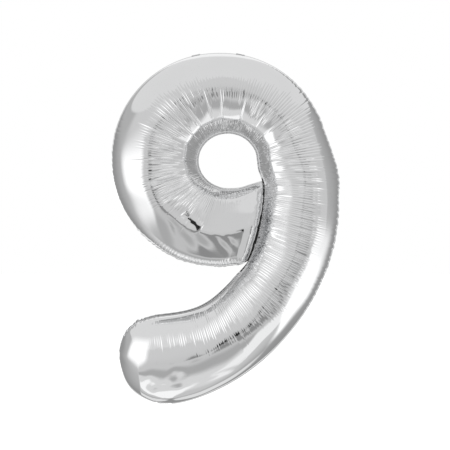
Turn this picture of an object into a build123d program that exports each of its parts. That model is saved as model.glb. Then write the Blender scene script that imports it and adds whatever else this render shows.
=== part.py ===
"""Inflated foil number balloon, the figure 9: two foil sheets welded round their edges.

The frame is in millimetres: X to the right of the upright figure, Y to its back, Z up. The
weld between the two sheets lies in the plane Y = 0. The origin is under the middle of the
figure, level with its lowest edge.
"""

import os
from math import cos, degrees, hypot, radians, sin

from build123d import *

# Film thicknesses, as closed solids that stand in for films of a few hundredths of a millimetre
FOIL_WALL = 1.0
WELD_THICK = 0.8
VALVE_FILM = 0.4
NECK_FOIL = 0.8

# Welded margins outside the seam line
OUTER_MARGIN = 6.0
INNER_MARGIN = 12.0
NOTCH_MARGIN = 2.0

# Round head: the outer seam is nearly a circle that widens towards the stem, the seam round
# the eye is an ellipse, and the cut edge of the eye is a smaller ellipse with one sharp corner
HEAD_X, HEAD_Z = -17.0, 596.0
HEAD_RADIUS = 256.0
HEAD_GROWTH = 13.0
EYE_SEAM_X, EYE_SEAM_Z = -2.0, 589.0
EYE_SEAM_RX, EYE_SEAM_RZ = 89.0, 84.0
EYE_X, EYE_Z = 7.0, 594.0
EYE_RX, EYE_RZ = 71.0, 66.0
EYE_CORNER = (90.0, 546.0)
HEAD_STEP = 15
HEAD_LAST = 255

# Cross-lines over the tail and the stem, from the tail's tip up to the eye:
# seam point on the hollow side, then seam point on the outer side
TAIL_AND_STEM = [
    ((-258, 128), (-258, 116)),
    ((-253, 150), (-253, 92)),
    ((-240, 174), (-239, 56)),
    ((-216, 194), (-205, 24)),
    ((-178, 206), (-150, 6)),
    ((-127, 212), (-86, 15)),
    ((-75, 223), (-21, 40)),
    ((-34, 243), (41, 75)),
    ((0, 271), (101, 122)),
    ((29, 304), (153, 177)),
    ((54, 342), (198, 238)),
    ((74, 386), (234, 304)),
    ((87, 434), (259, 373)),
    ((95, 485), (272, 444)),
    ((98, 532), (275, 513)),
    ((94, 572), (270, 578)),
]
NOTCH_CORNER = 10

# Cross-lines over the end of the bowl, up to the weld against the stem, with the half depth
BOWL_END = [
    ((-2, 505), (-17, 340), 88),
    ((30, 510), (6, 341), 84),
    ((55, 521), (23, 343), 73),
    ((73, 531), (36, 345), 56),
    ((84, 538), (44, 347), 34),
    ((89, 541), (48, 349), 5),
]

# Shape of the tube's cross-section
DEPTH_SHARE = 0.48
FULLNESS_SHIFT = 0.035
SECTION_STEPS = 8
SECTIONS_PER_LINE = 2

# Inflation neck under the tail, folded up behind it, and the valve film inside
NECK_X = -150.0
NECK_WIDTH = 30.0
NECK_LENGTH = 58.0
NECK_AXIS_Z = 2.6
NECK_CURVE = 110.0
VALVE_WIDTH = 20.0
VALVE_TOP = 150.0
VALVE_BOTTOM = 5.5
VALVE_BACK_TOP = 138.0

# Hanging tabs on the top edge, folded back
TAB_TILTS = {"left": 12.0, "right": -12.0}
TAB_WIDTH = 22.0
TAB_LENGTH = 19.0
TAB_THICK = 0.8
TAB_HOLE_RADIUS = 2.5
TAB_HOLE_OUT = 10.0
TAB_AXIS_GAP = 1.2
TAB_FOLD = 102.0


def on_ellipse(x, z, rx, rz, angle):
    """Point at an angle, in degrees, on an upright ellipse in the XZ plane."""
    turn = radians(angle)
    return (x + rx * cos(turn), z + rz * sin(turn))


def head_radius(angle):
    """Radius of the head's outer seam: constant to the left, growing from the top to the stem."""
    return HEAD_RADIUS + HEAD_GROWTH * max(0.0, 1 - angle / 90)


def cross_lines():
    """All cross-lines, tail tip to bowl end: inner point, outer point, half depth."""
    lines = []
    for inner, outer in TAIL_AND_STEM:
        lines.append((inner, outer, DEPTH_SHARE * span(inner, outer)))
    for angle in range(HEAD_STEP, HEAD_LAST + 1, HEAD_STEP):
        radius = head_radius(angle)
        inner = on_ellipse(EYE_SEAM_X, EYE_SEAM_Z, EYE_SEAM_RX, EYE_SEAM_RZ, angle)
        outer = on_ellipse(HEAD_X, HEAD_Z, radius, radius, angle)
        lines.append((inner, outer, DEPTH_SHARE * span(inner, outer)))
    return lines + BOWL_END


def span(inner, outer):
    """Length of a cross-line."""
    return hypot(outer[0] - inner[0], outer[1] - inner[1])


def along(start, towards, distance):
    """Point at a distance from start, on the way to another point."""
    share = distance / span(start, towards)
    return (start[0] + share * (towards[0] - start[0]), start[1] + share * (towards[1] - start[1]))


def arch(width, depth, inset):
    """Half outline of the tube over one cross-line, inset by a wall, as a spline."""
    points = []
    for step in range(SECTION_STEPS + 1):
        turn = radians(180 * step / SECTION_STEPS)
        shift = FULLNESS_SHIFT * width * sin(turn) ** 2
        x = inset + (width - 2 * inset) * (1 - cos(turn)) / 2 + shift
        points.append((x, WELD_THICK / 2 + (depth - inset) * sin(turn)))
    knots = [step / SECTION_STEPS for step in range(SECTION_STEPS + 1)]
    return Edge.make_spline([Vector(*point) for point in points], parameters=knots)


def foil_section(inner, outer, depth):
    """Thin arched strip that the front sheet has over one cross-line."""
    width = span(inner, outer)
    across = Vector(outer[0] - inner[0], 0, outer[1] - inner[1]).normalized()
    plane = Plane(origin=(inner[0], 0, inner[1]), x_dir=across, z_dir=(across.Z, 0, -across.X))
    over = arch(width, depth, 0)
    under = arch(width, depth, FOIL_WALL)
    ends = [Line(over @ 0, under @ 0), Line(under @ 1, over @ 1)]
    return plane * make_face(Wire([over, ends[1], under, ends[0]]))


def rail(points):
    """Smooth curve through one point of every cross-line, at even steps of its parameter."""
    last = len(points) - 1
    steps = [index / last for index in range(last + 1)]
    return Edge.make_spline([Vector(*point) for point in points], parameters=steps)


def front_foil(lines):
    """Front sheet: one long blown half tube from the tail's tip round to the bowl's end."""
    inner_rail = rail([(inner[0], depth, inner[1]) for inner, _, depth in lines])
    outer_rail = rail([(outer[0], 0, outer[1]) for _, outer, _ in lines])
    last = SECTIONS_PER_LINE * (len(lines) - 1)
    sections = []
    for step in range(last + 1):
        inner = inner_rail @ (step / last)
        outer = outer_rail @ (step / last)
        sections.append(foil_section((inner.X, inner.Z), (outer.X, outer.Z), inner.Y))
    return loft(sections)


def flat_band(outline):
    """Welded margin: a flat plate on both sides of the plane Y = 0."""
    face = Plane.XZ * make_face(outline)
    return extrude(face, WELD_THICK / 2, both=True)


def beside(points, distances):
    """Points moved to the left of their path by given distances, square to the path."""
    moved = []
    for index, (x, z) in enumerate(points):
        before = points[max(index - 1, 0)]
        after = points[min(index + 1, len(points) - 1)]
        length = span(before, after)
        distance = distances[index]
        across = ((before[1] - after[1]) / length, (after[0] - before[0]) / length)
        moved.append((x + distance * across[0], z + distance * across[1]))
    return moved


def outline_weld(lines):
    """Margin along the outer edge, round the tail's tip and up the hollow edge to the notch."""
    seam_points = [line[1] for line in lines[::-1]] + [line[0] for line in lines[: NOTCH_CORNER + 1]]
    outer = [OUTER_MARGIN] * len(lines)
    hollow = [min(INNER_MARGIN, OUTER_MARGIN + 2 * index) for index in range(NOTCH_CORNER)]
    hollow.append(NOTCH_MARGIN)
    cut = Spline(*beside(seam_points, outer + hollow))
    seam = Spline(*beside(seam_points, [-FOIL_WALL] * len(seam_points)))
    band = flat_band(Wire([cut, Line(cut @ 1, seam @ 1), seam, Line(seam @ 0, cut @ 0)]))
    neck_gap = Box(NECK_WIDTH + 4, 4, 30)
    return band - Pos(NECK_X, 0, 0) * neck_gap


def eye_weld(lines):
    """Margin round the eye: seam ring outside, cut edge with its sharp corner inside."""
    stem = [line[0] for line in lines[len(TAIL_AND_STEM) - 2 :]]
    rest = [along(line[0], line[1], FOIL_WALL) for line in lines[len(TAIL_AND_STEM) - 1 :]]
    ring = Spline(stem[0], *rest)
    outside = Wire([ring, Line(ring @ 1, ring @ 0)])
    edge = [on_ellipse(EYE_X, EYE_Z, EYE_RX, EYE_RZ, angle) for angle in range(0, 301, 20)]
    cut = Spline(EYE_CORNER, *edge, EYE_CORNER)
    return flat_band(outside) - flat_band(Wire([cut]))


def bowl_end_weld(lines, neighbours):
    """Margin between the bowl's end and the stem that it is welded against."""
    stem = [line[0] for line in lines[NOTCH_CORNER : len(TAIL_AND_STEM) - 1]]
    bowl = [along(end, lines[-2][index], FOIL_WALL) for index, end in enumerate(lines[-1][:2])]
    stem_side = Spline(*stem)
    sides = [Line(stem_side @ 1, bowl[0]), Line(bowl[0], bowl[1]), Line(bowl[1], stem_side @ 0)]
    band = flat_band(Wire([stem_side, *sides]))
    for neighbour in neighbours:
        band -= neighbour
    return band


def valve_film(side, top):
    """One flat film of the self-closing valve, standing inside the tail over the neck."""
    film = Box(VALVE_WIDTH, VALVE_FILM, top - VALVE_BOTTOM, align=(Align.CENTER, Align.MIN, Align.MIN))
    film = Pos(NECK_X, 0, VALVE_BOTTOM) * film
    return film if side == "back" else mirror(film, Plane.XZ)


def neck_layer(offset, thickness, x_low, x_high):
    """Strip of film in the neck, bent round the tail's back; offset is out from the mid layer."""
    centre_z = NECK_AXIS_Z + NECK_CURVE
    low = NECK_CURVE + offset
    high = low + thickness
    turn = degrees(NECK_LENGTH / NECK_CURVE)
    arcs = [CenterArc((0, centre_z), radius, -90, turn) for radius in (low, high)]
    ends = [Line(arcs[0] @ 0, arcs[1] @ 0), Line(arcs[0] @ 1, arcs[1] @ 1)]
    face = Plane.YZ * make_face(Wire([arcs[0], ends[1], arcs[1], ends[0]]))
    return Pos(x_low, 0, 0) * extrude(face, x_high - x_low)


def neck_parts():
    """Two foils of the neck, the two valve films between them and the two side welds."""
    left, right = NECK_X - NECK_WIDTH / 2, NECK_X + NECK_WIDTH / 2
    film_left, film_right = NECK_X - VALVE_WIDTH / 2, NECK_X + VALVE_WIDTH / 2
    return {
        "neck_back_foil": neck_layer(-VALVE_FILM - NECK_FOIL, NECK_FOIL, left, right),
        "neck_front_foil": neck_layer(VALVE_FILM, NECK_FOIL, left, right),
        "neck_valve_back_film": neck_layer(-VALVE_FILM, VALVE_FILM, film_left, film_right),
        "neck_valve_front_film": neck_layer(0, VALVE_FILM, film_left, film_right),
        "neck_left_weld": neck_layer(-VALVE_FILM, 2 * VALVE_FILM, left, film_left),
        "neck_right_weld": neck_layer(-VALVE_FILM, 2 * VALVE_FILM, film_right, right),
    }


def hanging_tab(tilt):
    """Rounded foil tab with a punched hole, folded back over the top edge; tilt is to the left."""
    tab = Pos(0, TAB_LENGTH / 2) * Rectangle(TAB_WIDTH, TAB_LENGTH)
    tab = fillet(tab.vertices().sort_by(Axis.Y)[-2:], TAB_WIDTH / 3)
    tab -= Pos(0, TAB_HOLE_OUT) * Circle(TAB_HOLE_RADIUS)
    plate = extrude(tab, TAB_THICK / 2, both=True)
    folded = Rot(90 - TAB_FOLD, 0, 0) * plate
    axis_height = head_radius(90 + tilt) + OUTER_MARGIN + TAB_AXIS_GAP
    return Pos(HEAD_X, 0, HEAD_Z) * Rot(0, -tilt, 0) * Pos(0, 0, axis_height) * folded


def build():
    """Every node of the balloon by name."""
    lines = cross_lines()
    front = front_foil(lines)
    outline = outline_weld(lines)
    eye = eye_weld(lines)
    nodes = {
        "front_foil": front,
        "back_foil": mirror(front, Plane.XZ),
        "outline_weld": outline,
        "eye_weld": eye,
        "bowl_end_weld": bowl_end_weld(lines, [outline, eye]),
        "valve_front_film": valve_film("front", VALVE_TOP),
        "valve_back_film": valve_film("back", VALVE_BACK_TOP),
    }
    nodes.update(neck_parts())
    for side, tilt in TAB_TILTS.items():
        nodes[f"hanging_tab_{side}"] = hanging_tab(tilt)
    return nodes


os.makedirs("parts", exist_ok=True)
for name, shape in build().items():
    export_step(shape, f"parts/{name}.step")
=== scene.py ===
import math

import bpy
import numpy as np
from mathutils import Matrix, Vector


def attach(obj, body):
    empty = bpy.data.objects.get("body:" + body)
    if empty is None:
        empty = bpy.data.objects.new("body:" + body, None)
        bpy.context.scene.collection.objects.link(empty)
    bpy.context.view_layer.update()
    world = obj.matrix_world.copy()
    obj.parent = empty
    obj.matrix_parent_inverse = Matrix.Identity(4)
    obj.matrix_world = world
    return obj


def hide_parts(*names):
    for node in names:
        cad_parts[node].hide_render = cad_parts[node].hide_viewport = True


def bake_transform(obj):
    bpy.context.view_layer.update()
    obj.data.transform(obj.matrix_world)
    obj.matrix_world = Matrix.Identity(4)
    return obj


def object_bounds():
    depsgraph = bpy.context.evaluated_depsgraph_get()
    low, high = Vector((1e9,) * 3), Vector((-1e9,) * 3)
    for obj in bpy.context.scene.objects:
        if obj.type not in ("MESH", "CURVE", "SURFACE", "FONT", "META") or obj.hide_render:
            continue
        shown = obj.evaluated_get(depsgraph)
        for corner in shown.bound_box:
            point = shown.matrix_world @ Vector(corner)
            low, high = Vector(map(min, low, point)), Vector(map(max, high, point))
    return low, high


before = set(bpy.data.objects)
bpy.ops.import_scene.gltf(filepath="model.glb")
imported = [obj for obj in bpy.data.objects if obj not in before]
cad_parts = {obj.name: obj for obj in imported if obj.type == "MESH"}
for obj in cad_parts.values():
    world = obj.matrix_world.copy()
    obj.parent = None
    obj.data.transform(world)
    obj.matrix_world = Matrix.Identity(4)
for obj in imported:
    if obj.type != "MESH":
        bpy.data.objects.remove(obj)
cad_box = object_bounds()

# Lengths below are millimetres until a mesh is made
METRES = 0.001

# Seam rails, on numbered cross-lines called stations: 0-15 tail and stem, from the tail's tip up
# to the eye, 16-32 head, 33-38 the bowl's end. Each has a seam point on the hollow side, a seam
# point on the outer side and the width of the hollow side's margin
TAIL_AND_STEM = [
    ((-258, 128), (-258, 116), 6),
    ((-253, 150), (-253, 92), 8),
    ((-240, 174), (-239, 56), 10),
    ((-216, 194), (-205, 24), 12),
    ((-178, 206), (-150, 6), 12),
    ((-127, 212), (-86, 15), 12),
    ((-75, 223), (-21, 40), 12),
    ((-34, 243), (41, 75), 12),
    ((0, 271), (101, 122), 12),
    ((29, 304), (153, 177), 10),
    ((54, 342), (198, 238), 2),
    ((74, 386), (234, 304), 2),
    ((87, 434), (259, 373), 2),
    ((95, 485), (272, 444), 2),
    ((98, 532), (275, 513), 4),
    ((91, 572), (270, 578), 10),
]
# The head is an arc of cross-lines at these angles from straight right. Its radius grows by up to
# HEAD_GROWTH towards the right, and the eye's margin is widest at the left
HEAD_CENTRE = (-17, 596)
HEAD_RADIUS = 256
HEAD_GROWTH = 13
HEAD_ANGLES = range(15, 256, 15)
EYE_SEAM_CENTRE = (-2, 589)
EYE_SEAM_RADII = (89, 84)
EYE_MARGIN = 18
EYE_MARGIN_LOSS = (9, 5)
BOWL_END = [
    ((-2, 505), (-17, 340), 23),
    ((30, 510), (6, 341), 19),
    ((55, 521), (23, 343), 15),
    ((73, 531), (36, 345), 10),
    ((84, 538), (44, 347), 6),
    ((89, 541), (48, 349), 4),
]

# Welded margins: the CAD's outer width, the widths here, how far the inner one turns forward and
# the gap between the films
CAD_OUTER_MARGIN = 6
OUTER_MARGIN = 2.5
INNER_MARGIN = 5
MARGIN_TURN = 1.9
MARGIN_GAP = 0.2

# Cross-section of the blown tube. Its crown is its highest line, as a share of the way across
CROWN_SHARE = 0.5
DEPTH_SHARE = 0.46
# Hollow side: round in the tail, and from the stem on a steep wall with a slower rise behind it.
# Creases pull it flatter over the named stations
ROUND_POWER = 1.8
WALL_STATIONS = (9.5, 11.5)
WALL_HEIGHT = 0.72
WALL_WIDTH = [(0, 20), (10, 20), (14, 27), (24, 30), (31, 29), (35, 20), (38, 8)]
FULL_WALL_WIDTH = 28
WALL_POWER = 0.8
RISE_POWER = 1.7
CREASED_LOSS = 0.5
CREASED_TAIL = (8, 5.5)
CREASED_TAIL_SHARE = 0.5
CREASED_BOWL = (28, 30.5)
# Outer side: round, but a flat panel with a chamfer in the bowl and partly in the tail
PANEL_TAIL = (9, 5)
PANEL_TAIL_SHARE = 0.4
PANEL_BOWL = (28.5, 31)
PANEL_TURN = 0.3
PANEL_SLOPE = 0.33
PANEL_EDGE = 0.81
CHAMFER_SLOPE = 0.54
CHAMFER_EDGE = 0.91

# End of the tail, by the distance travelled from its tip: a smooth cap towards the hollow side, a
# creased one towards the outer side, and the tube behind them that fills out slowly
TAIL_DEPTH = 76
TAIL_CAP = 100
TAIL_CAP_POWER = 2.1
TAIL_CREASE = 52
TAIL_CREASE_RISE = 0.97
TAIL_CREASE_POWER = 0.52
TAIL_CREASE_SIDE = (-0.15, 0.3)
TAIL_JOIN = (62, 125)
TAIL_SLACK = 0.2
TAIL_SLACK_END = 300
TAIL_SLACK_REACH = 200

# End of the bowl, by the distance left to its end: the front slopes down from a slanting crease
BOWL_CREASE = 257
BOWL_CREASE_SLANT = 133
BOWL_CREASE_CORNER = 0.16
BOWL_CREASE_STEP = 65
BOWL_CREASE_STEP_SIDE = (0.1, -0.1)
BOWL_SLOPE_POWER = 1.6
BOWL_TAPER = 0.24
BOWL_TAPER_START = 28
BOWL_TAPER_STATIONS = 6
BOWL_END_DROP = 0.45
BOWL_END_DEPTH = 21
BOWL_END_POWER = 2.2
BOWL_END_MARGIN = 13
BOWL_END_BOW = 16.5
BOWL_BOW_REACH = 110
BOWL_BOW_POWER = 0.6
BOWL_END_NOTCHES = [0.16, 0.31, 0.48, 0.6, 0.8]
NOTCH_DEPTH = 2.4
NOTCH_HALF_WIDTH = 0.03
NOTCH_REACH = (24, 4)

# Neck, as the CAD has it: a strip that runs from the tail's lowest edge round its back. The tail's
# films are drawn in over it
NECK_X = -150.0
NECK_WIDTH = 30.0
NECK_LENGTH = 58.0
NECK_START_Z = 2.6
NECK_CURVE = 110.0
NECK_INSIDE = 6.0
NECK_OPEN = 0.75
NECK_WELDED = 0.12
NECK_DIP = 0.9
NECK_WAVES = 9
NECK_RIPPLE = 0.05
NECK_STEP = 0.8
NECK_COLUMNS = 31
NECK_DRAW = 1.8
# Distances from the neck's middle over which the tail's seam is drawn in and its margin ends, and
# the station that the neck lies below
NECK_DRAW_REACH = (22, 16)
NECK_CUT_REACH = (19, 16)
NECK_STATION = 8

# Hanging tabs, as the CAD has them: rounded, punched, folded back over the head's top edge
TAB_TILTS = {"left": 12.0, "right": -12.0}
TAB_WIDTH = 22.0
TAB_LENGTH = 19.0
TAB_HOLE_RADIUS = 2.5
TAB_HOLE_OUT = 10.0
TAB_AXIS_GAP = 1.2
TAB_FOLD = 102.0
TAB_CORNER = TAB_WIDTH / 3
TAB_ROOT = 3.0
TAB_RIPPLE = 0.25
TAB_RINGS = 12
TAB_POINTS = 96

# Grid of each film, and samples along the spine and across a section that it is made from
ROWS = 1590
COLUMNS = 54
MARGIN_COLUMNS = 4
END_ROWS = 4
SPINE_SAMPLES = 5000
SECTION_SAMPLES = 401


def spline_through(values, at):
    """Natural cubic spline through values at 0, 1, 2, ... read at the given places."""
    values = np.asarray(values, float).reshape(len(values), -1)
    count = len(values)
    matrix = np.eye(count)
    right = np.zeros_like(values)
    for i in range(1, count - 1):
        matrix[i, i - 1 : i + 2] = (1, 4, 1)
        right[i] = 6 * (values[i - 1] - 2 * values[i] + values[i + 1])
    bend = np.linalg.solve(matrix, right)
    cell = np.clip(np.floor(at).astype(int), 0, count - 2)
    t = (at - cell)[:, None]
    curved = ((1 - t) ** 3 - (1 - t)) * bend[cell] + (t**3 - t) * bend[cell + 1]
    return values[cell] * (1 - t) + values[cell + 1] * t + curved / 6


def cross_lines():
    """Inner seam points, outer seam points and inner margins at every cross-line."""
    lines = list(TAIL_AND_STEM)
    for angle in HEAD_ANGLES:
        turn = math.radians(angle)
        way = np.array([math.cos(turn), math.sin(turn)])
        radius = HEAD_RADIUS + HEAD_GROWTH * max(0, 1 - angle / 90)
        margin = EYE_MARGIN - EYE_MARGIN_LOSS[0] * way[0] - EYE_MARGIN_LOSS[1] * way[1]
        lines.append((EYE_SEAM_CENTRE + way * EYE_SEAM_RADII, HEAD_CENTRE + way * radius, margin))
    lines += BOWL_END
    return (np.array([line[i] for line in lines], float) for i in range(3))


def smooth(values, reach):
    """Running mean of a row of values, with a bell-shaped weight."""
    weight = np.exp(-np.linspace(-2, 2, 2 * reach + 1) ** 2)
    padded = np.pad(values, reach, mode="edge")
    return np.convolve(padded, weight / weight.sum(), mode="valid")


def direction(vectors):
    """Unit vectors the same way."""
    return vectors / np.maximum(np.linalg.norm(vectors, axis=-1), 1e-9)[..., None]


class Body:
    """The balloon's smooth blown shape as a grid: one row per place along the tube, one column
    per place across it. Both films are made from it."""

    def __init__(self):
        inner, outer, margin = cross_lines()
        last = len(inner) - 1
        fine = np.linspace(0, last, SPINE_SAMPLES)
        middle = (spline_through(inner, fine) + spline_through(outer, fine)) / 2
        steps = np.hypot(*np.diff(middle, axis=0).T)
        length = np.concatenate([[0], np.cumsum(steps)])
        self.station = np.interp(np.linspace(0, length[-1], ROWS), length, fine)
        self.travel = length[-1] * np.arange(ROWS) / (ROWS - 1)
        self.to_end = length[-1] - self.travel
        self.pitch = length[-1] / (ROWS - 1)
        self.inner = spline_through(inner, self.station)
        self.outer = spline_through(outer, self.station)
        self.margin = np.interp(self.station, np.arange(last + 1), margin)
        way = direction(self.outer - self.inner)
        self.turned_in = np.maximum(self.margin - INNER_MARGIN, 0)
        self.inner -= self.turned_in[:, None] * way
        self.margin -= self.turned_in
        self.outer += (CAD_OUTER_MARGIN - OUTER_MARGIN) * way
        across = self.outer - self.inner
        self.width = np.hypot(*across.T)
        self.across = across / self.width[:, None]
        self.forward = direction(np.gradient((self.inner + self.outer) / 2, axis=0))
        self.v = np.linspace(0, 1, COLUMNS)
        self.make_sections()
        self.cap_tail()
        self.close_bowl()
        self.row_step = np.hypot(*np.moveaxis(np.gradient(self.flat, axis=0), -1, 0))

    def make_sections(self):
        """Place across the tube and height above the weld's plane, for every grid point."""
        crown = (self.turned_in + CROWN_SHARE * (self.width - self.turned_in))[:, None]
        outer_half = self.width[:, None] - crown
        top = DEPTH_SHARE * 2 * outer_half
        fine = (1 - np.cos(np.linspace(0, math.pi, SECTION_SAMPLES))) / 2
        x = fine * self.width[:, None]
        from_crown = np.clip((x - crown) / outer_half, 0, 1)
        hollow = self.hollow_side(x, crown, top)
        high = np.where(x < crown, hollow, self.outer_side(from_crown, outer_half, top))
        steps = np.hypot(np.diff(x, axis=1), np.diff(high, axis=1))
        length = np.concatenate([np.zeros((ROWS, 1)), np.cumsum(steps, axis=1)], axis=1)
        length /= length[:, -1:]
        self.x = np.array([np.interp(self.v, length[i], x[i]) for i in range(ROWS)])
        self.y = np.array([np.interp(self.v, length[i], high[i]) for i in range(ROWS)])
        self.from_crown = (self.x - crown) / outer_half

    def hollow_side(self, x, crown, top):
        """Heights between the inner seam and the crown, at distances from the inner seam."""
        station = self.station[:, None]
        creased = np.maximum(CREASED_TAIL_SHARE * ramp(station, *CREASED_TAIL), ramp(station, *CREASED_BOWL))
        to_crown = np.clip(1 - x / crown, 0, 1)
        tube = top * np.sqrt(1 - to_crown ** (ROUND_POWER - CREASED_LOSS * creased))
        wall = over_stations(self, WALL_WIDTH)[:, None]
        ring = WALL_HEIGHT * top * np.minimum(wall / FULL_WALL_WIDTH, 1)
        slope = ring * (np.clip(x, 0, wall) / wall) ** WALL_POWER
        left = np.clip((crown - x) / (crown - wall), 0, 1)
        rise = top - (top - ring) * left ** (RISE_POWER - CREASED_LOSS * creased)
        walled = np.where(x < wall, slope, rise)
        share = ramp(station, *WALL_STATIONS)
        return tube * (1 - share) + walled * share

    def outer_side(self, from_crown, outer_half, top):
        """Heights between the crown and the outer seam, at shares of the way between them."""
        station = self.station[:, None]
        tube = top * np.sqrt(1 - from_crown**2)
        turned = np.minimum(from_crown, PANEL_TURN)
        flat = top * (1 - PANEL_SLOPE * (turned**2 / (2 * PANEL_TURN) + from_crown - turned))
        flat -= CHAMFER_SLOPE * outer_half * np.maximum(from_crown - PANEL_EDGE, 0)
        rim = np.sqrt(1 - np.clip((from_crown - CHAMFER_EDGE) / (1 - CHAMFER_EDGE), 0, 1) ** 2)
        share = np.maximum(PANEL_TAIL_SHARE * ramp(station, *PANEL_TAIL), ramp(station, *PANEL_BOWL))
        return tube * (1 - share) + flat * rim * share

    def cap_tail(self):
        """Round off the tail's end, with a crease where the end cap meets the front panel."""
        travel = self.travel[:, None]
        smooth_cap = closing(travel, TAIL_CAP, TAIL_CAP_POWER)
        creased_cap = TAIL_CREASE_RISE * np.minimum(travel / TAIL_CREASE, 1) ** TAIL_CREASE_POWER
        lower = ramp(self.from_crown, *TAIL_CREASE_SIDE)
        cap = TAIL_DEPTH * (smooth_cap * (1 - lower) + creased_cap * lower)
        joined = ramp(travel, *TAIL_JOIN)
        own = joined * (1 - TAIL_SLACK * np.clip((TAIL_SLACK_END - travel) / TAIL_SLACK_REACH, 0, 1))
        self.y = self.y * own + cap * self.y / self.y.max(axis=1, keepdims=True) * (1 - joined)

    def close_bowl(self):
        """Slope the front down from a slanting crease, then bring it down to the end weld."""
        to_end = self.to_end[:, None]
        crease = BOWL_CREASE - BOWL_CREASE_SLANT * np.maximum(self.from_crown - BOWL_CREASE_CORNER, 0)
        crease += BOWL_CREASE_STEP * ramp(self.from_crown, *BOWL_CREASE_STEP_SIDE)
        slope = np.clip(1 - to_end / crease, 0, 1) ** BOWL_SLOPE_POWER
        self.y *= (1 - BOWL_END_DROP * slope) * closing(to_end, BOWL_END_DEPTH, BOWL_END_POWER)
        tapered = np.clip((self.station[:, None] - BOWL_TAPER_START) / BOWL_TAPER_STATIONS, 0, 1)
        self.y *= 1 - BOWL_TAPER * tapered
        share = self.x / self.width[:, None]
        bow = BOWL_END_BOW * ramp(to_end, BOWL_BOW_REACH, 0) * (4 * share * (1 - share)) ** BOWL_BOW_POWER
        for place in BOWL_END_NOTCHES:
            notch = np.clip(1 - np.abs(share - place) / NOTCH_HALF_WIDTH, 0, 1)
            bow -= NOTCH_DEPTH * notch * ramp(to_end, *NOTCH_REACH)
        flat = self.inner[:, None] + self.across[:, None] * self.x[..., None]
        self.flat = flat + bow[..., None] * self.forward[:, None]


def closing(distance, reach, power):
    """Rounded rise from 0 at no distance to 1 at the reach."""
    left = 1 - np.clip(distance / reach, 0, 1)
    return (1 - left**power) ** (1 / power)


def ramp(value, start, end):
    """Smooth step from 0 at start to 1 at end."""
    t = np.clip((value - start) / (end - start), 0, 1)
    return t * t * (3 - 2 * t)


def over_stations(body, points):
    """A value that runs straight between (station, value) points, for every row."""
    places, values = zip(*points)
    return np.interp(body.station, places, values)


def spaced_rows(body, spacing, jitter, rng, column):
    """Rows at nearly even distances along one column of the grid."""
    step = body.row_step[:, int(column * (COLUMNS - 1))]
    travel = np.concatenate([[0], np.cumsum(step)[:-1]])
    places = []
    at = spacing
    while at < travel[-1]:
        places.append(at)
        at += spacing * (1 + jitter * rng.uniform(-1, 1))
    return np.interp(places, travel, np.arange(ROWS))


def add_fold(height, body, row, width, start, end, depth, slant, soft=0.12):
    """One narrow valley with soft shoulders, along the cross-line at a row."""
    reach = int(FOLD_REACH * width / body.pitch) + FOLD_SPARE_ROWS
    low, high = max(0, int(row) - reach), min(ROWS, int(row) + reach)
    rows = np.arange(low, high)[:, None]
    away = (rows - row - slant * (body.v - start)) * body.row_step[low:high]
    valley = -np.exp(-((away / width) ** 2))
    shoulders = SHOULDER_RISE * np.exp(-(((np.abs(away) - SHOULDER_PLACE * width) / width) ** 2))
    reach_v = ramp(body.v, start - soft / 2, start + soft / 2) * ramp(body.v, end + soft, end - soft)
    height[low:high] += depth * (valley + shoulders) * reach_v


# Tables below go by station. Places across the tube are shares, 0 at the inner seam, 1 at the
# outer one. A fold's valley is computed out to a reach in widths, its shoulders stand beside it
FOLD_REACH = 4
FOLD_SPARE_ROWS = 12
SHOULDER_RISE = 0.3
SHOULDER_PLACE = 1.8

# Fine comb of wrinkles: where it starts and ends across the tube, and how deep it is
COMB_SPACING = 5.4
COMB_START = [(4, 0.2), (6, 0.16), (9, 0.2), (14, 0.24), (16, 0.36), (20, 0.4), (22, 0.42), (24, 0.32),
              (27, 0.31), (29, 0.24), (31, 0.12), (33, 0.12)]
COMB_END = [(4, 0.3), (6, 0.38), (7.5, 0.47), (9, 0.56), (14, 0.64), (16, 0.7), (20, 0.68), (22, 0.66),
            (24, 0.58), (27, 0.53), (29, 0.52), (31, 0.43), (33, 0.34)]
COMB_DEPTH = [(3.6, 0), (4.8, 0.6), (10, 0.8), (14, 1.0), (18, 1.1), (20, 0.8), (22.5, 0.8), (24, 1.4),
              (29, 1.6), (31, 1.2), (33.2, 0.5), (34, 0)]

# Long creases from the inner seam, and the flat facets between them: how flat, how far apart in
# height, how much they bulge, and the most rows that one can span
CREASE_SPACING = 27.0
CREASE_DEPTH = [(6, 0), (8, 0.4), (13, 0.5), (16, 0.9), (31, 0.9), (32.5, 0.3), (34, 0)]
FACET_SHARE = [(6, 0), (9, 0.5), (14, 0.7), (16, 1), (31, 1), (33, 0.4), (34, 0)]
FACET_STEP = 1.4
FACET_BULGE = 0.5
FACET_ROWS = 90

# Short pleats beside the inner seam
PLEAT_SPACING = 4.4
PLEAT_DEPTH = [(8, 0), (9.5, 0.9), (20, 1.0), (23, 1.0), (24.5, 0.9), (28, 0.9), (29.5, 0.8), (35, 0.5)]

# Slow dents of the whole film: how many waves, and their height as a share of their length
DENT_WAVES = 16
DENT_SHARE = 0.004
TUBE_WIDTH = 250

# Crinkles of the rim along the bowl's bottom, and the ridge and crinkles of its closed end
RIM_SPACING = 6.5
RIM_DEPTH = [(29.8, 0), (31, 1.6), (35.5, 1.8), (37, 1.0)]
RIDGE_RISE = 3.5
RIDGE_WIDTH = 10
END_CRINKLES = 1.6
END_CRINKLE_PLACES = np.arange(0.06, 0.98, 0.055)
END_CRINKLE_WIDTH = 0.012

# Crumpled film on the steep inner wall
CRUMPLE_DEPTH = 1.1
CRUMPLE_SHARE = [(9, 0), (10.2, 1), (14.5, 1), (16, 0.35), (22, 0.3), (24, 0.1), (28, 0.1), (30, 0.4),
                 (36, 0.4)]

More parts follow.
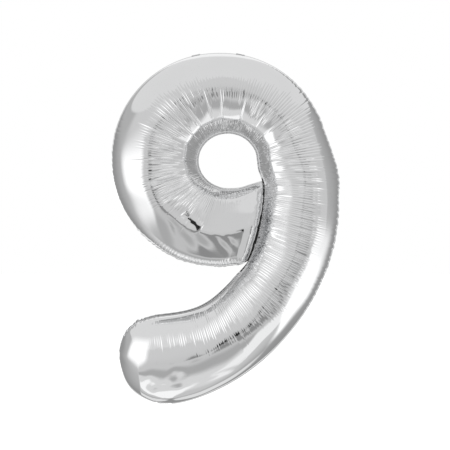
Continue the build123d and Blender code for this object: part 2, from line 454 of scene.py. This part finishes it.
# Single creases pressed into the front film: x and z of both ends, then half width and depth
FRONT_CREASES = [
    ((-200, 44), (-60, 62), 6.0, 0.9),
    ((-60, 64), (40, 100), 5.0, 1.0),
    ((-140, 84), (-90, 60), 19.0, 2.6),
    ((-196, 66), (-160, 40), 15.0, 1.8),
    ((-160, 492), (-66, 362), 11.0, 1.3),
    ((-133, 476), (-104, 362), 9.0, 1.0),
    ((-98, 446), (-30, 358), 10.0, 1.2),
    ((-44, 432), (18, 356), 8.0, 1.0),
    ((-10, 424), (36, 372), 6.0, 0.8),
]
# Slivers of the front film pulled square to the front: x and z of both ends, then half width.
# Each is narrow at its first end and has a soft edge
FRONT_SLIVERS = [((-108, 470), (-58, 428), 8.5)]
SLIVER_TAPER = 1.8
SLIVER_TIP = 0.1
SLIVER_EDGE = 1.6

# Shallow bites that the outer seam and the tail's inner seam are drawn in by
SCALLOP_SPACING = 14.0
SCALLOP_DEPTH = [(0, 1.2), (1, 0.5), (3, 0), (9.5, 0), (11, 2.4), (14, 3.2), (17.5, 2.8), (18.5, 0.6),
                 (20, 0.1), (25, 0.1), (26, 1.2), (27.5, 1.4), (29, 0.8), (30.5, 2.2), (36, 2.4), (38, 1.5)]
HOLLOW_SCALLOPS = [(0, 2.5), (1, 4.0), (3.5, 3.6), (4.4, 0.6), (5, 0)]
SCALLOP_FOLD_SHARE = 0.35

# Ruffles of the inner welded margin
RUFFLE_SPACING = 4.6
RUFFLE_WIDTH = 1.6
RUFFLE_DEPTH = 0.1
OUTER_MARGIN_TURN = 0.7
# Stations between which the inner margin lies flat, because the bowl's end touches it there
FLAT_MARGIN_START = (9.6, 8.8)
FLAT_MARGIN_END = (14.3, 15.2)


def comb_wrinkles(height, body, rng):
    """Fine parallel wrinkles across the middle of the tube."""
    start = over_stations(body, COMB_START)
    end = over_stations(body, COMB_END)
    depth = over_stations(body, COMB_DEPTH)
    for row in spaced_rows(body, COMB_SPACING, jitter=0.25, rng=rng, column=0.45):
        at = int(row)
        if depth[at] <= 0.02:
            continue
        first = start[at] + rng.uniform(-0.06, 0.08)
        final = end[at] + rng.uniform(-0.08, 0.06)
        deep = depth[at] * rng.uniform(0.5, 1.25)
        width = rng.uniform(1.15, 1.45)
        add_fold(height, body, row, width, first, final, deep, slant=rng.uniform(-4, 4))


def crease_rows(body, rng):
    """Rows of the long creases that spread from the eye and from the hollow side."""
    rows = spaced_rows(body, CREASE_SPACING, jitter=0.35, rng=rng, column=0.08)
    depth = np.interp(rows, np.arange(ROWS), over_stations(body, CREASE_DEPTH))
    return rows[depth > 0.05].astype(int)


def long_creases(height, body, rows, rng):
    """A thin valley along every long crease."""
    depth = over_stations(body, CREASE_DEPTH)
    for row in rows:
        deep = depth[row] * rng.uniform(0.7, 1.3)
        final = rng.uniform(0.4, 0.66)
        add_fold(height, body, row, 1.3, 0.0, final, deep, slant=rng.uniform(-3, 3))


def ring_pleats(height, body, rng):
    """Short crinkles beside the inner seam."""
    depth = over_stations(body, PLEAT_DEPTH)
    for row in spaced_rows(body, PLEAT_SPACING, jitter=0.35, rng=rng, column=0.1):
        deep = depth[int(row)] * rng.uniform(0.4, 1.3)
        if deep > 0.02:
            final = rng.uniform(0.15, 0.22)
            add_fold(height, body, row, 1.0, -0.05, final, deep, slant=rng.uniform(-4, 4), soft=0.05)


def dents(body, rng):
    """Slow unevenness of the whole film, a fraction of a millimetre."""
    travel = body.travel[:, None]
    across = body.v * TUBE_WIDTH
    height = np.zeros((ROWS, COLUMNS))
    for _ in range(DENT_WAVES):
        turn = rng.uniform(0, 2 * math.pi)
        length = rng.uniform(60, 150)
        wave = (travel * math.cos(turn) + across * math.sin(turn)) * 2 * math.pi / length
        height += DENT_SHARE * length * rng.uniform(0.1, 0.7) * np.cos(wave + rng.uniform(0, 6.3))
    return height * ramp(body.v, 0, 0.2) * ramp(body.v, 1, 0.85)


def rim_wrinkles(height, body, rng):
    """Crinkles of the rim along the bowl's bottom, and the raised ridge of its closed end."""
    depth = over_stations(body, RIM_DEPTH)
    tooth = np.zeros(ROWS)
    rows = spaced_rows(body, RIM_SPACING, jitter=0.5, rng=rng, column=0.95)
    for low, high in zip(rows[:-1], rows[1:]):
        first, final = int(low), int(high)
        t = (np.arange(first, final) - low) / (high - low)
        tooth[first:final] = np.minimum(np.clip(t, 0, 1) / 0.75, (1 - t) * 4) * rng.uniform(0.7, 1.1)
    on_rim = ramp(body.from_crown, PANEL_EDGE, CHAMFER_EDGE) * ramp(body.from_crown, 0.99, 0.95)
    height += (depth * tooth)[:, None] * on_rim
    to_end = body.to_end[:, None]
    ridge = np.exp(-(((to_end - BOWL_END_DEPTH) / RIDGE_WIDTH) ** 2)) * ramp(body.v, 0.1, 0.3)
    height += RIDGE_RISE * ridge * ramp(to_end, 0, 10)
    near_end = ramp(to_end, 26, 16) * ramp(to_end, 0, 5)
    for place in END_CRINKLE_PLACES:
        away = (body.v - place - rng.uniform(-0.01, 0.01)) / END_CRINKLE_WIDTH
        height += END_CRINKLES * rng.uniform(-1, 1) * near_end * np.exp(-(away**2))


def crumple(height, body, rng):
    """Crumpled film on the steep inner wall, most on the stem, where the bowl's end presses."""
    noise = rng.normal(size=(ROWS, COLUMNS))
    noise = np.stack([smooth(noise[:, i], 2) for i in range(COLUMNS)], axis=1)
    share = over_stations(body, CRUMPLE_SHARE)
    height += CRUMPLE_DEPTH * noise * share[:, None] * ramp(body.v, 0.26, 0.18)


def distance_to(points, first, second):
    """Distance of every grid point from a line across the front, and its share along the line."""
    first, second = np.array(first, float), np.array(second, float)
    line = second - first
    offset = points[..., ::2] - first
    share = (offset @ line) / (line @ line)
    nearest = first + np.clip(share, 0, 1)[..., None] * line
    return np.linalg.norm(points[..., ::2] - nearest, axis=-1), share


def press_front(points, height):
    """Press the single creases and slivers into the front film."""
    for first, second, half_width, depth in FRONT_CREASES:
        away, share = distance_to(points, first, second)
        fade = ramp(share, 0, 0.4) * ramp(share, 1, 0.6)
        height -= depth * np.exp(-((away / half_width) ** 2)) * fade
    for first, second, half_width in FRONT_SLIVERS:
        away, share = distance_to(points, first, second)
        reach = half_width * np.clip(SLIVER_TAPER * share, SLIVER_TIP, 1)
        hold = ramp(away, reach * SLIVER_EDGE, reach) * (share > 0) * (share < 1)
        middle = np.unravel_index(np.argmin(away + 100 * np.abs(share - 0.5)), away.shape)
        points[..., 1] += (points[middle][1] - points[..., 1]) * hold
        height *= 1 - hold


def scallops(body, table, column, rng):
    """How far a seam is drawn in at every row, and the rows where its bites meet."""
    depth = over_stations(body, table)
    rows = spaced_rows(body, SCALLOP_SPACING, jitter=0.5, rng=rng, column=column)
    tooth = np.zeros(ROWS)
    for low, high in zip(rows[:-1], rows[1:]):
        first, final = int(low), int(high)
        t = np.clip((np.arange(first, final) - low) / (high - low), 0, 1)
        peak = rng.uniform(0.25, 0.75)
        rise = np.where(t < peak, t / peak, (1 - t) / (1 - peak))
        tooth[first:final] = rise**0.7 * rng.uniform(0.3, 1.0)
    return smooth(depth * (1 - tooth), 2), rows


def flatten_facets(points, body, rows):
    """Pull the film flat between neighbouring long creases, on the tube's inner side."""
    share = over_stations(body, FACET_SHARE)
    hold = (ramp(body.v, 0.02, 0.16) * ramp(body.v, 0.52, 0.28))[:, None]
    for low, high in zip(rows[:-1], rows[1:]):
        if high - low > FACET_ROWS:
            continue
        t = (np.arange(low + 1, high) - low)[:, None, None] / (high - low)
        chord = points[low] * (1 - t) + points[high] * t
        weight = share[low + 1 : high, None, None] * hold
        points[low + 1 : high] += (chord - points[low + 1 : high]) * weight


def surface_normals(points, side):
    """Outward unit normals of a film's grid."""
    normal = direction(np.cross(np.gradient(points, axis=1), np.gradient(points, axis=0)))
    return normal * np.sign((normal[..., 1] * side).sum())


def raise_facets(height, body, rows, rng):
    """Step and bulge the facets between long creases a little."""
    share = over_stations(body, FACET_SHARE)
    steps = FACET_STEP * rng.uniform(-1, 1, len(rows))
    between = np.interp(np.arange(ROWS), rows, steps)[:, None]
    height += between * share[:, None] * ramp(body.v, 0.02, 0.12) * ramp(body.v, 0.52, 0.25)
    for low, high in zip(rows[:-1], rows[1:]):
        t = (np.arange(low, high) - low)[:, None] / (high - low)
        bulge = FACET_BULGE * rng.uniform(0, 2) * 4 * t * (1 - t) * share[low:high, None]
        height[low:high] += bulge * ramp(body.v, 0.05, 0.2) * ramp(body.v, 0.52, 0.3)


def scallop_folds(height, body, rows, rng):
    """A short fold that runs in from the outer seam wherever two bites meet."""
    depth = over_stations(body, SCALLOP_DEPTH)
    for row in rows:
        deep = SCALLOP_FOLD_SHARE * depth[int(row)]
        if deep > 0.1:
            first = rng.uniform(0.82, 0.93)
            add_fold(height, body, row, 2.0, first, 1.1, deep, slant=rng.uniform(-4, 4))


def film_grid(body, side, rng, seam_rng):
    """Vertices of one film as a grid, margins included. side is -1 in front and 1 behind."""
    points = np.empty((ROWS, COLUMNS, 3))
    points[..., 0] = body.flat[..., 0]
    points[..., 1] = side * (body.y + MARGIN_GAP)
    points[..., 2] = body.flat[..., 1]
    rows = crease_rows(body, rng)
    flatten_facets(points, body, rows)
    height = dents(body, rng)
    raise_facets(height, body, rows, rng)
    long_creases(height, body, rows, rng)
    comb_wrinkles(height, body, rng)
    ring_pleats(height, body, rng)
    outer_in, outer_rows = scallops(body, SCALLOP_DEPTH, 1.0, seam_rng)
    inner_in = scallops(body, HOLLOW_SCALLOPS, 0.0, seam_rng)[0]
    outer_in += NECK_DRAW * near_neck(body, *NECK_DRAW_REACH)
    scallop_folds(height, body, outer_rows, rng)
    rim_wrinkles(height, body, rng)
    crumple(height, body, rng)
    if side < 0:
        press_front(points, height)
    height *= ramp(body.v, 0, 0.03) * ramp(body.v, 1, 0.97)
    points += surface_normals(points, side) * height[..., None]
    pull = -outer_in[:, None] * ramp(body.v, 0.8, 1) + inner_in[:, None] * ramp(body.v, 0.2, 0)
    shift = pull[..., None] * body.across[:, None]
    points[..., 0] += shift[..., 0]
    points[..., 2] += shift[..., 1]
    return add_margins(points, body, side)


def near_neck(body, outside, inside):
    """1 at the rows over the neck, 0 elsewhere, changing between two distances from its middle."""
    return ramp(np.abs(body.outer[:, 0] - NECK_X), outside, inside) * (body.station < NECK_STATION)


def margin_waves(body, rng):
    """Small ruffles of the inner welded margin, out of the weld's plane."""
    waves = np.zeros(ROWS)
    for row in spaced_rows(body, RUFFLE_SPACING, jitter=0.4, rng=rng, column=0.0):
        away = (np.arange(ROWS) - row) * body.row_step[:, 0]
        waves += rng.uniform(-1, 1) * np.exp(-((away / RUFFLE_WIDTH) ** 2))
    return waves


def add_margins(points, body, side):
    """The grid with welded margins outside both seams and beyond the bowl's closed end."""
    shares = np.linspace(1, 0, MARGIN_COLUMNS + 1)[:-1]
    inner = np.repeat(points[:, :1], MARGIN_COLUMNS, axis=1)
    outer = np.repeat(points[:, -1:], MARGIN_COLUMNS, axis=1)
    waves = margin_waves(body, np.random.default_rng(9))
    free = np.maximum(ramp(body.station, *FLAT_MARGIN_END), ramp(body.station, *FLAT_MARGIN_START))
    off_neck = 1 - near_neck(body, *NECK_CUT_REACH)
    for index, share in enumerate(shares):
        inner[:, index, ::2] -= (share * body.margin)[:, None] * body.across
        inner[:, index, 1] += share * (RUFFLE_DEPTH * waves - MARGIN_TURN * free)
        outer[:, -1 - index, ::2] += (share * OUTER_MARGIN * off_neck)[:, None] * body.across
        outer[:, -1 - index, 1] += share * OUTER_MARGIN_TURN * off_neck
    grid = np.concatenate([inner, points, outer], axis=1)
    beyond = np.repeat(grid[-1:], END_ROWS, axis=0)
    for index in range(END_ROWS):
        reach = BOWL_END_MARGIN * ((index + 1) / END_ROWS) ** 2
        beyond[index, :, ::2] += reach * body.forward[-1]
        beyond[index, :, 1] = side * MARGIN_GAP / 2
    return np.concatenate([grid, beyond])


def mesh_object(name, points, faces, material):
    """Smooth-shaded mesh from vertices in millimetres."""
    mesh = bpy.data.meshes.new(name)
    mesh.from_pydata((points * METRES).tolist(), [], faces)
    mesh.polygons.foreach_set("use_smooth", np.ones(len(mesh.polygons), bool))
    mesh.materials.append(material)
    obj = bpy.data.objects.new(name, mesh)
    bpy.context.scene.collection.objects.link(obj)
    return obj


def grid_faces(rows, columns, flip=False, closed=False):
    """Faces of a grid, as indices into its points row by row."""
    across = columns if closed else columns - 1
    row = np.arange(rows - 1)[:, None] * columns
    left = np.arange(across)
    right = (left + 1) % columns
    around = [row + left, row + right, row + right + columns, row + left + columns]
    around = [corner.ravel() for corner in around]
    return np.stack(around[::-1] if flip else around, axis=1).tolist()


def neck_grid(side, rng):
    """One film of the neck: down out of the tail's lowest edge, then back and up behind it."""
    travel = np.arange(-NECK_INSIDE, NECK_LENGTH + 0.01, NECK_STEP)
    out = np.maximum(travel, 0)
    path = np.stack([NECK_CURVE * np.sin(out / NECK_CURVE),
                     NECK_START_Z + NECK_CURVE * (1 - np.cos(out / NECK_CURVE))], axis=1)
    path[:, 1] += np.maximum(-travel, 0)
    path[:, 1] -= NECK_DIP * np.exp(-((travel - 1) / 3) ** 2)
    path = np.stack([smooth(path[:, i], 3) for i in (0, 1)], axis=1)
    along = direction(np.gradient(path, axis=0))
    outward = np.stack([along[:, 1], -along[:, 0]], axis=1)
    across = np.linspace(-1, 1, NECK_COLUMNS)
    opened = NECK_WELDED + (NECK_OPEN - NECK_WELDED) * ramp(np.abs(across), 0.86, 0.66)
    ripple = np.zeros((len(travel), len(across)))
    for _ in range(NECK_WAVES):
        turn = rng.uniform(-0.5, 0.5)
        length = rng.uniform(7, 18)
        place = travel[:, None] * math.sin(turn) + across * NECK_WIDTH / 2 * math.cos(turn)
        ripple += NECK_RIPPLE * np.cos(place * 2 * math.pi / length + rng.uniform(0, 6.3))
    offset = side * (opened + np.abs(ripple))
    points = np.empty((len(travel), len(across), 3))
    points[..., 0] = NECK_X + across * NECK_WIDTH / 2
    points[..., 1:] = path[:, None] + outward[:, None] * offset[..., None]
    return points


def tab_outline(count):
    """Points evenly spaced round a tab from its root, as seen from its hole. y is outwards."""
    half, far = TAB_WIDTH / 2, TAB_LENGTH
    corners = [(half, -TAB_ROOT)]
    for turn in np.radians(np.linspace(0, 90, 9)):
        corners.append((half - TAB_CORNER + TAB_CORNER * math.cos(turn),
                        far - TAB_CORNER + TAB_CORNER * math.sin(turn)))
    corners += [(-x, y) for x, y in corners[::-1]]
    corners = np.array(corners + corners[:1]) - (0, TAB_HOLE_OUT)
    lengths = np.concatenate([[0], np.cumsum(np.hypot(*np.diff(corners, axis=0).T))])
    at = np.linspace(0, lengths[-1], count, endpoint=False)
    return np.stack([np.interp(at, lengths, corners[:, i]) for i in (0, 1)], axis=1)


def tab_fold_radius(tilt):
    """Distance of a tab's fold from the head's centre."""
    return HEAD_RADIUS + HEAD_GROWTH * max(0, -tilt / 90) + CAD_OUTER_MARGIN + TAB_AXIS_GAP


def tab_grid(tilt, rng):
    """Vertices of a tab as rings from its hole out to its edge."""
    outline = tab_outline(TAB_POINTS)
    turns = np.arctan2(outline[:, 1], outline[:, 0])
    hole = TAB_HOLE_RADIUS * np.stack([np.cos(turns), np.sin(turns)], axis=1)
    shares = np.linspace(0, 1, TAB_RINGS)[:, None, None]
    flat = hole * (1 - shares) + outline * shares + (0, TAB_HOLE_OUT)
    side, out = flat[..., 0], flat[..., 1]
    ripple = TAB_RIPPLE * np.cos(side * 0.9 + rng.uniform(0, 6)) * np.cos(out * 0.35)
    fold = math.radians(TAB_FOLD - 90) * ramp(out, -2, 2)
    drop = np.maximum(out, 0)
    up = tab_fold_radius(tilt) - drop * np.sin(fold) + ripple * ramp(out, 1, 5) + np.minimum(out, 0)
    turn = math.radians(tilt)
    points = np.empty(flat.shape[:2] + (3,))
    points[..., 0] = HEAD_CENTRE[0] + side * math.cos(turn) - up * math.sin(turn)
    points[..., 1] = drop * np.cos(fold)
    points[..., 2] = HEAD_CENTRE[1] + side * math.sin(turn) + up * math.cos(turn)
    return points


def add_node(tree, kind, inputs, **settings):
    """A new shader node. An input is given either a value or another node's output."""
    node = tree.nodes.new("ShaderNode" + kind)
    for name, value in settings.items():
        setattr(node, name, value)
    for key, value in inputs.items():
        if isinstance(value, bpy.types.NodeSocket):
            tree.links.new(value, node.inputs[key])
        else:
            node.inputs[key].default_value = value
    return node


def smooth_step(tree, value, start, end):
    """Output that goes softly from 0 to 1 while the value goes from start to end."""
    inputs = {"Value": value, "From Min": start, "From Max": end}
    return add_node(tree, "MapRange", inputs, interpolation_type="SMOOTHSTEP").outputs[0]


def calculate(tree, operation, *values):
    """Output of a math node on one or two values."""
    return add_node(tree, "Math", dict(enumerate(values)), operation=operation).outputs[0]


def new_material(name):
    """A new material, and its shader's inputs."""
    material = bpy.data.materials.new(name)
    material.use_nodes = True
    return material, material.node_tree.nodes["Principled BSDF"].inputs


def noise_on(tree, scale, detail):
    """Output of noise that is fixed to the object."""
    place = add_node(tree, "TexCoord", {}).outputs["Object"]
    return add_node(tree, "TexNoise", {"Vector": place, "Scale": scale, "Detail": detail}).outputs["Fac"]


def dress(material, gloss, colour, bump):
    """Drive a material's roughness, colour and normal with nodes."""
    links = material.node_tree.links
    shader = material.node_tree.nodes["Principled BSDF"]
    links.new(gloss.outputs["Result"], shader.inputs["Roughness"])
    links.new(colour.outputs["Result"], shader.inputs["Base Color"])
    links.new(bump.outputs["Normal"], shader.inputs["Normal"])


def film_material(name, tint, low_gloss, high_gloss):
    """Bright metallised film: mirror-like, with a faint grain and slightly uneven gloss."""
    material, shader = new_material(name)
    tree = material.node_tree
    shader["Metallic"].default_value = 1.0
    cloud = noise_on(tree, 9.0, 4.0)
    grain = noise_on(tree, 420.0, 2.0)
    gloss = add_node(tree, "MapRange", {"Value": cloud, "From Min": 0.3, "From Max": 0.7,
                                        "To Min": low_gloss, "To Max": high_gloss})
    colour = add_node(tree, "Mix", {"Factor": cloud, "A": (*(0.95 * c for c in tint), 1), "B": (*tint, 1)},
                      data_type="RGBA")
    bump = add_node(tree, "Bump", {"Height": grain, "Strength": 0.05, "Distance": 0.0005})
    dress(material, gloss, colour, bump)
    return material


def clear_film_material():
    """Clear thin film of the valve, with a slightly uneven surface."""
    material, shader = new_material("clear_film")
    tree = material.node_tree
    shader["Alpha"].default_value = 0.6
    cloud = noise_on(tree, 60.0, 2.0)
    gloss = add_node(tree, "MapRange", {"Value": cloud, "To Min": 0.12, "To Max": 0.35})
    colour = add_node(tree, "Mix", {"Factor": cloud, "A": (0.82, 0.82, 0.8, 1), "B": (0.93, 0.93, 0.91, 1)},
                      data_type="RGBA")
    bump = add_node(tree, "Bump", {"Height": cloud, "Strength": 0.2, "Distance": 0.0003})
    dress(material, gloss, colour, bump)
    return material


# Brightness of the surroundings in reflections. Each panel runs between two azimuths (0 towards
# the front, positive to the right) and two elevations, in degrees; then come the softness of its
# low-azimuth, high-azimuth, bottom and top edges, and its brightness. Each covers those before it
BASE_LEVEL = 0.33
PANELS = [
    (-50, 10, -181, 181, 95, 150, 1, 1, 0.65),
    (-55, 60, -91, -45, 50, 60, 1, 22, 0.64),
    (-60, 60, 22, 91, 30, 30, 26, 1, 0.69),
    (-181, -90, 24, 91, 1, 20, 14, 1, 0.5),
    (-181, 181, 33, 91, 1, 1, 3, 1, 0.79),
    (56, 76, -10, 26, 3, 4, 8, 6, 0.66),
    (-30, 30, -37, -28, 25, 25, 12, 11, 0.46),
    (-40, 40, -60, -44, 30, 30, 9, 9, 0.78),
    (-45, 12, -84, -57, 8, 8, 5, 5, 1.1),
    (120, 160, -78, -50, 12, 8, 8, 8, 0.85),
    (-160, -120, -78, -50, 8, 12, 8, 8, 0.85),
    (2, 28, -14, -7, 4, 12, 6, 3, 0.3),
    (32, 60, -52, -28, 8, 6, 8, 8, 1.0),
    (-4, 4, -6, 5, 3, 3, 4, 6, 0.3),
    (-3.6, 3.6, -3.4, 3.6, 1, 1, 1, 1, 0.02),
    (168, 181, -20, 45, 6, 1, 6, 6, 1.0),
    (-181, -168, -20, 45, 1, 6, 6, 6, 1.0),
]


def make_world():
    """Studio surroundings: white to the eye, grey with soft panels in reflections."""
    world = bpy.data.worlds.new("studio")
    bpy.context.scene.world = world
    world.use_nodes = True
    tree = world.node_tree
    tree.nodes.clear()
    place = add_node(tree, "TexCoord", {}).outputs["Generated"]
    right, back, up = add_node(tree, "SeparateXYZ", {0: place}).outputs
    front = calculate(tree, "MULTIPLY", back, -1.0)
    azimuth = calculate(tree, "MULTIPLY", calculate(tree, "ARCTAN2", right, front), math.degrees(1))
    elevation = calculate(tree, "MULTIPLY", calculate(tree, "ARCSINE", up), math.degrees(1))
    level = BASE_LEVEL
    for left, far, bottom, top, soft_left, soft_far, soft_bottom, soft_top, brightness in PANELS:
        mask = smooth_step(tree, azimuth, left - soft_left, left)
        for value, start, end in ((azimuth, far + soft_far, far), (elevation, bottom - soft_bottom, bottom),
                                  (elevation, top + soft_top, top)):
            mask = calculate(tree, "MULTIPLY", mask, smooth_step(tree, value, start, end))
        kept = calculate(tree, "MULTIPLY", level, calculate(tree, "SUBTRACT", 1.0, mask))
        level = calculate(tree, "ADD", kept, calculate(tree, "MULTIPLY", mask, brightness))
    surroundings = add_node(tree, "Background", {"Color": (1, 1, 1, 1), "Strength": level})
    plain = add_node(tree, "Background", {"Color": (1, 1, 1, 1)})
    seen = add_node(tree, "LightPath", {}).outputs["Is Camera Ray"]
    mix = add_node(tree, "MixShader", {0: seen, 1: surroundings.outputs[0], 2: plain.outputs[0]})
    add_node(tree, "OutputWorld", {0: mix.outputs[0]})


# Light cards beside the balloon, in metres, unseen but for their reflections. Each stands upright
# from one point of the plan to another and from a low to a high level; then come the softness of
# its first end, second end, bottom and top, as shares, and its brightness
CARDS = {
    "left_card": ((-1.45, 0.02), (-0.34, -0.62), -0.05, 0.86, (0.6, 0.1, 0.45, 0.39), 1.35),
    "right_card": ((0.5, 0.18), (0.98, -0.95), -0.36, 0.5, (0.2, 0.35, 0.15, 0.4), 1.3),
}


def one_face(name, corners):
    """A new object with one face, and its mesh."""
    mesh = bpy.data.meshes.new(name)
    mesh.from_pydata(corners, [], [(0, 1, 2, 3)])
    obj = bpy.data.objects.new(name, mesh)
    bpy.context.scene.collection.objects.link(obj)
    return obj, mesh


def make_card(name, first, second, low, high, soft, brightness):
    """One card: a plane that glows in its middle and fades out towards its edges."""
    card, mesh = one_face(name, [(*first, low), (*second, low), (*second, high), (*first, high)])
    material = bpy.data.materials.new(name)
    material.use_nodes = True
    tree = material.node_tree
    tree.nodes.clear()
    place = add_node(tree, "TexCoord", {}).outputs["Generated"]
    along, _, level = add_node(tree, "SeparateXYZ", {0: place}).outputs
    glow = smooth_step(tree, along, 0, soft[0])
    for value, start, end in ((along, 1, 1 - soft[1]), (level, 0, soft[2]), (level, 1, 1 - soft[3])):
        glow = calculate(tree, "MULTIPLY", glow, smooth_step(tree, value, start, end))
    clear = add_node(tree, "BsdfTransparent", {})
    light = add_node(tree, "Emission", {"Color": (1, 1, 1, 1), "Strength": brightness})
    mix = add_node(tree, "MixShader", {0: glow, 1: clear.outputs[0], 2: light.outputs[0]})
    add_node(tree, "OutputMaterial", {0: mix.outputs[0]})
    mesh.materials.append(material)
    card.visible_camera = False
    card.visible_diffuse = False
    card.visible_shadow = False


# Camera, in metres: straight in front, with a long lens
CAMERA_DISTANCE = 3.2
CAMERA_HEIGHT = 0.4373
VIEW_WIDTH = 1.0995


def make_camera():
    """Long lens straight in front of the figure's middle."""
    camera = bpy.data.cameras.new("camera")
    camera.sensor_fit = "HORIZONTAL"
    camera.sensor_width = 36
    camera.lens = camera.sensor_width * CAMERA_DISTANCE / VIEW_WIDTH
    obj = bpy.data.objects.new("camera", camera)
    obj.location = (0, -CAMERA_DISTANCE, CAMERA_HEIGHT)
    obj.rotation_euler = (math.radians(90), 0, 0)
    bpy.context.scene.collection.objects.link(obj)
    bpy.context.scene.camera = obj


# Floor, in metres: its distance below the balloon and half its width
FLOOR_DROP = 1.2
FLOOR_REACH = 40.0


def make_floor():
    """Plain white floor, well below the hanging balloon."""
    height = cad_box[0].z - FLOOR_DROP
    corners = [(-FLOOR_REACH, -FLOOR_REACH), (FLOOR_REACH, -FLOOR_REACH),
               (FLOOR_REACH, FLOOR_REACH), (-FLOOR_REACH, FLOOR_REACH)]
    floor, mesh = one_face("floor", [(x, y, height) for x, y in corners])
    material, shader = new_material("white_floor")
    shader["Base Color"].default_value = (0.9, 0.9, 0.9, 1)
    shader["Roughness"].default_value = 0.9
    shader["Specular IOR Level"].default_value = 0.0
    shader["Emission Color"].default_value = (1, 1, 1, 1)
    shader["Emission Strength"].default_value = 0.5
    mesh.materials.append(material)
    floor.visible_glossy = False


# Soft square studio light above, in metres and watts, aimed at the middle of the balloon
LIGHT_PLACE = (-0.6, -0.8, 3.5)
LIGHT_AIM = (0, 0, 0.4)
LIGHT_SIZE = 3
LIGHT_POWER = 90


def make_light():
    """The studio light, unseen in reflections."""
    light = bpy.data.lights.new("top_light", "AREA")
    light.size = LIGHT_SIZE
    light.energy = LIGHT_POWER
    obj = bpy.data.objects.new("top_light", light)
    obj.location = LIGHT_PLACE
    way = np.array(LIGHT_AIM) - np.array(LIGHT_PLACE)
    obj.rotation_euler = (math.atan2(math.hypot(way[0], way[1]), -way[2]), 0, math.atan2(-way[0], way[1]))
    obj.visible_camera = False
    obj.visible_glossy = False
    bpy.context.scene.collection.objects.link(obj)


def make_films(material):
    """Front and back film of the balloon."""
    body = Body()
    for name, side, seed in (("front_film", -1, 11), ("back_film", 1, 23)):
        grid = film_grid(body, side, np.random.default_rng(seed), np.random.default_rng(5))
        faces = grid_faces(*grid.shape[:2], flip=side > 0)
        film = mesh_object(name, grid.reshape(-1, 3), faces, material)
        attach(film, "balloon")
    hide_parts("front_foil", "outline_weld", "eye_weld", "bowl_end_weld")
    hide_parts("back_foil")


def make_neck(material):
    """Both films of the neck, which bend where they leave the tail."""
    for name, side, seed in (("neck_front_film", 1, 3), ("neck_back_film", -1, 4)):
        grid = neck_grid(side, np.random.default_rng(seed))
        faces = grid_faces(*grid.shape[:2], flip=side > 0)
        film = mesh_object(name, grid.reshape(-1, 3), faces, material)
        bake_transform(film)
        if side > 0:
            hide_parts("neck_front_foil", "neck_left_weld", "neck_right_weld")
        else:
            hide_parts("neck_back_foil")


def make_tabs(material):
    """Both hanging tabs, which bend where they leave the top margin."""
    for seed, (name, tilt) in enumerate(TAB_TILTS.items()):
        grid = tab_grid(tilt, np.random.default_rng(seed))
        faces = grid_faces(*grid.shape[:2], closed=True)
        tab = mesh_object(f"tab_{name}_film", grid.reshape(-1, 3), faces, material)
        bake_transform(tab)
        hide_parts(f"hanging_tab_{name}")


silver = film_material("silver_film", (0.86, 0.863, 0.868), 0.035, 0.09)
pressed = film_material("pressed_film", (0.82, 0.825, 0.835), 0.14, 0.26)
clear = clear_film_material()
make_films(silver)
make_neck(silver)
make_tabs(pressed)
for name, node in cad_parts.items():
    finish = clear if "valve" in name else silver
    for index in range(len(node.data.materials)):
        node.data.materials[index] = finish

make_camera()
make_world()
make_floor()
for name, card in CARDS.items():
    make_card(name, *card)
make_light()
bpy.context.scene.view_settings.view_transform = "Standard"
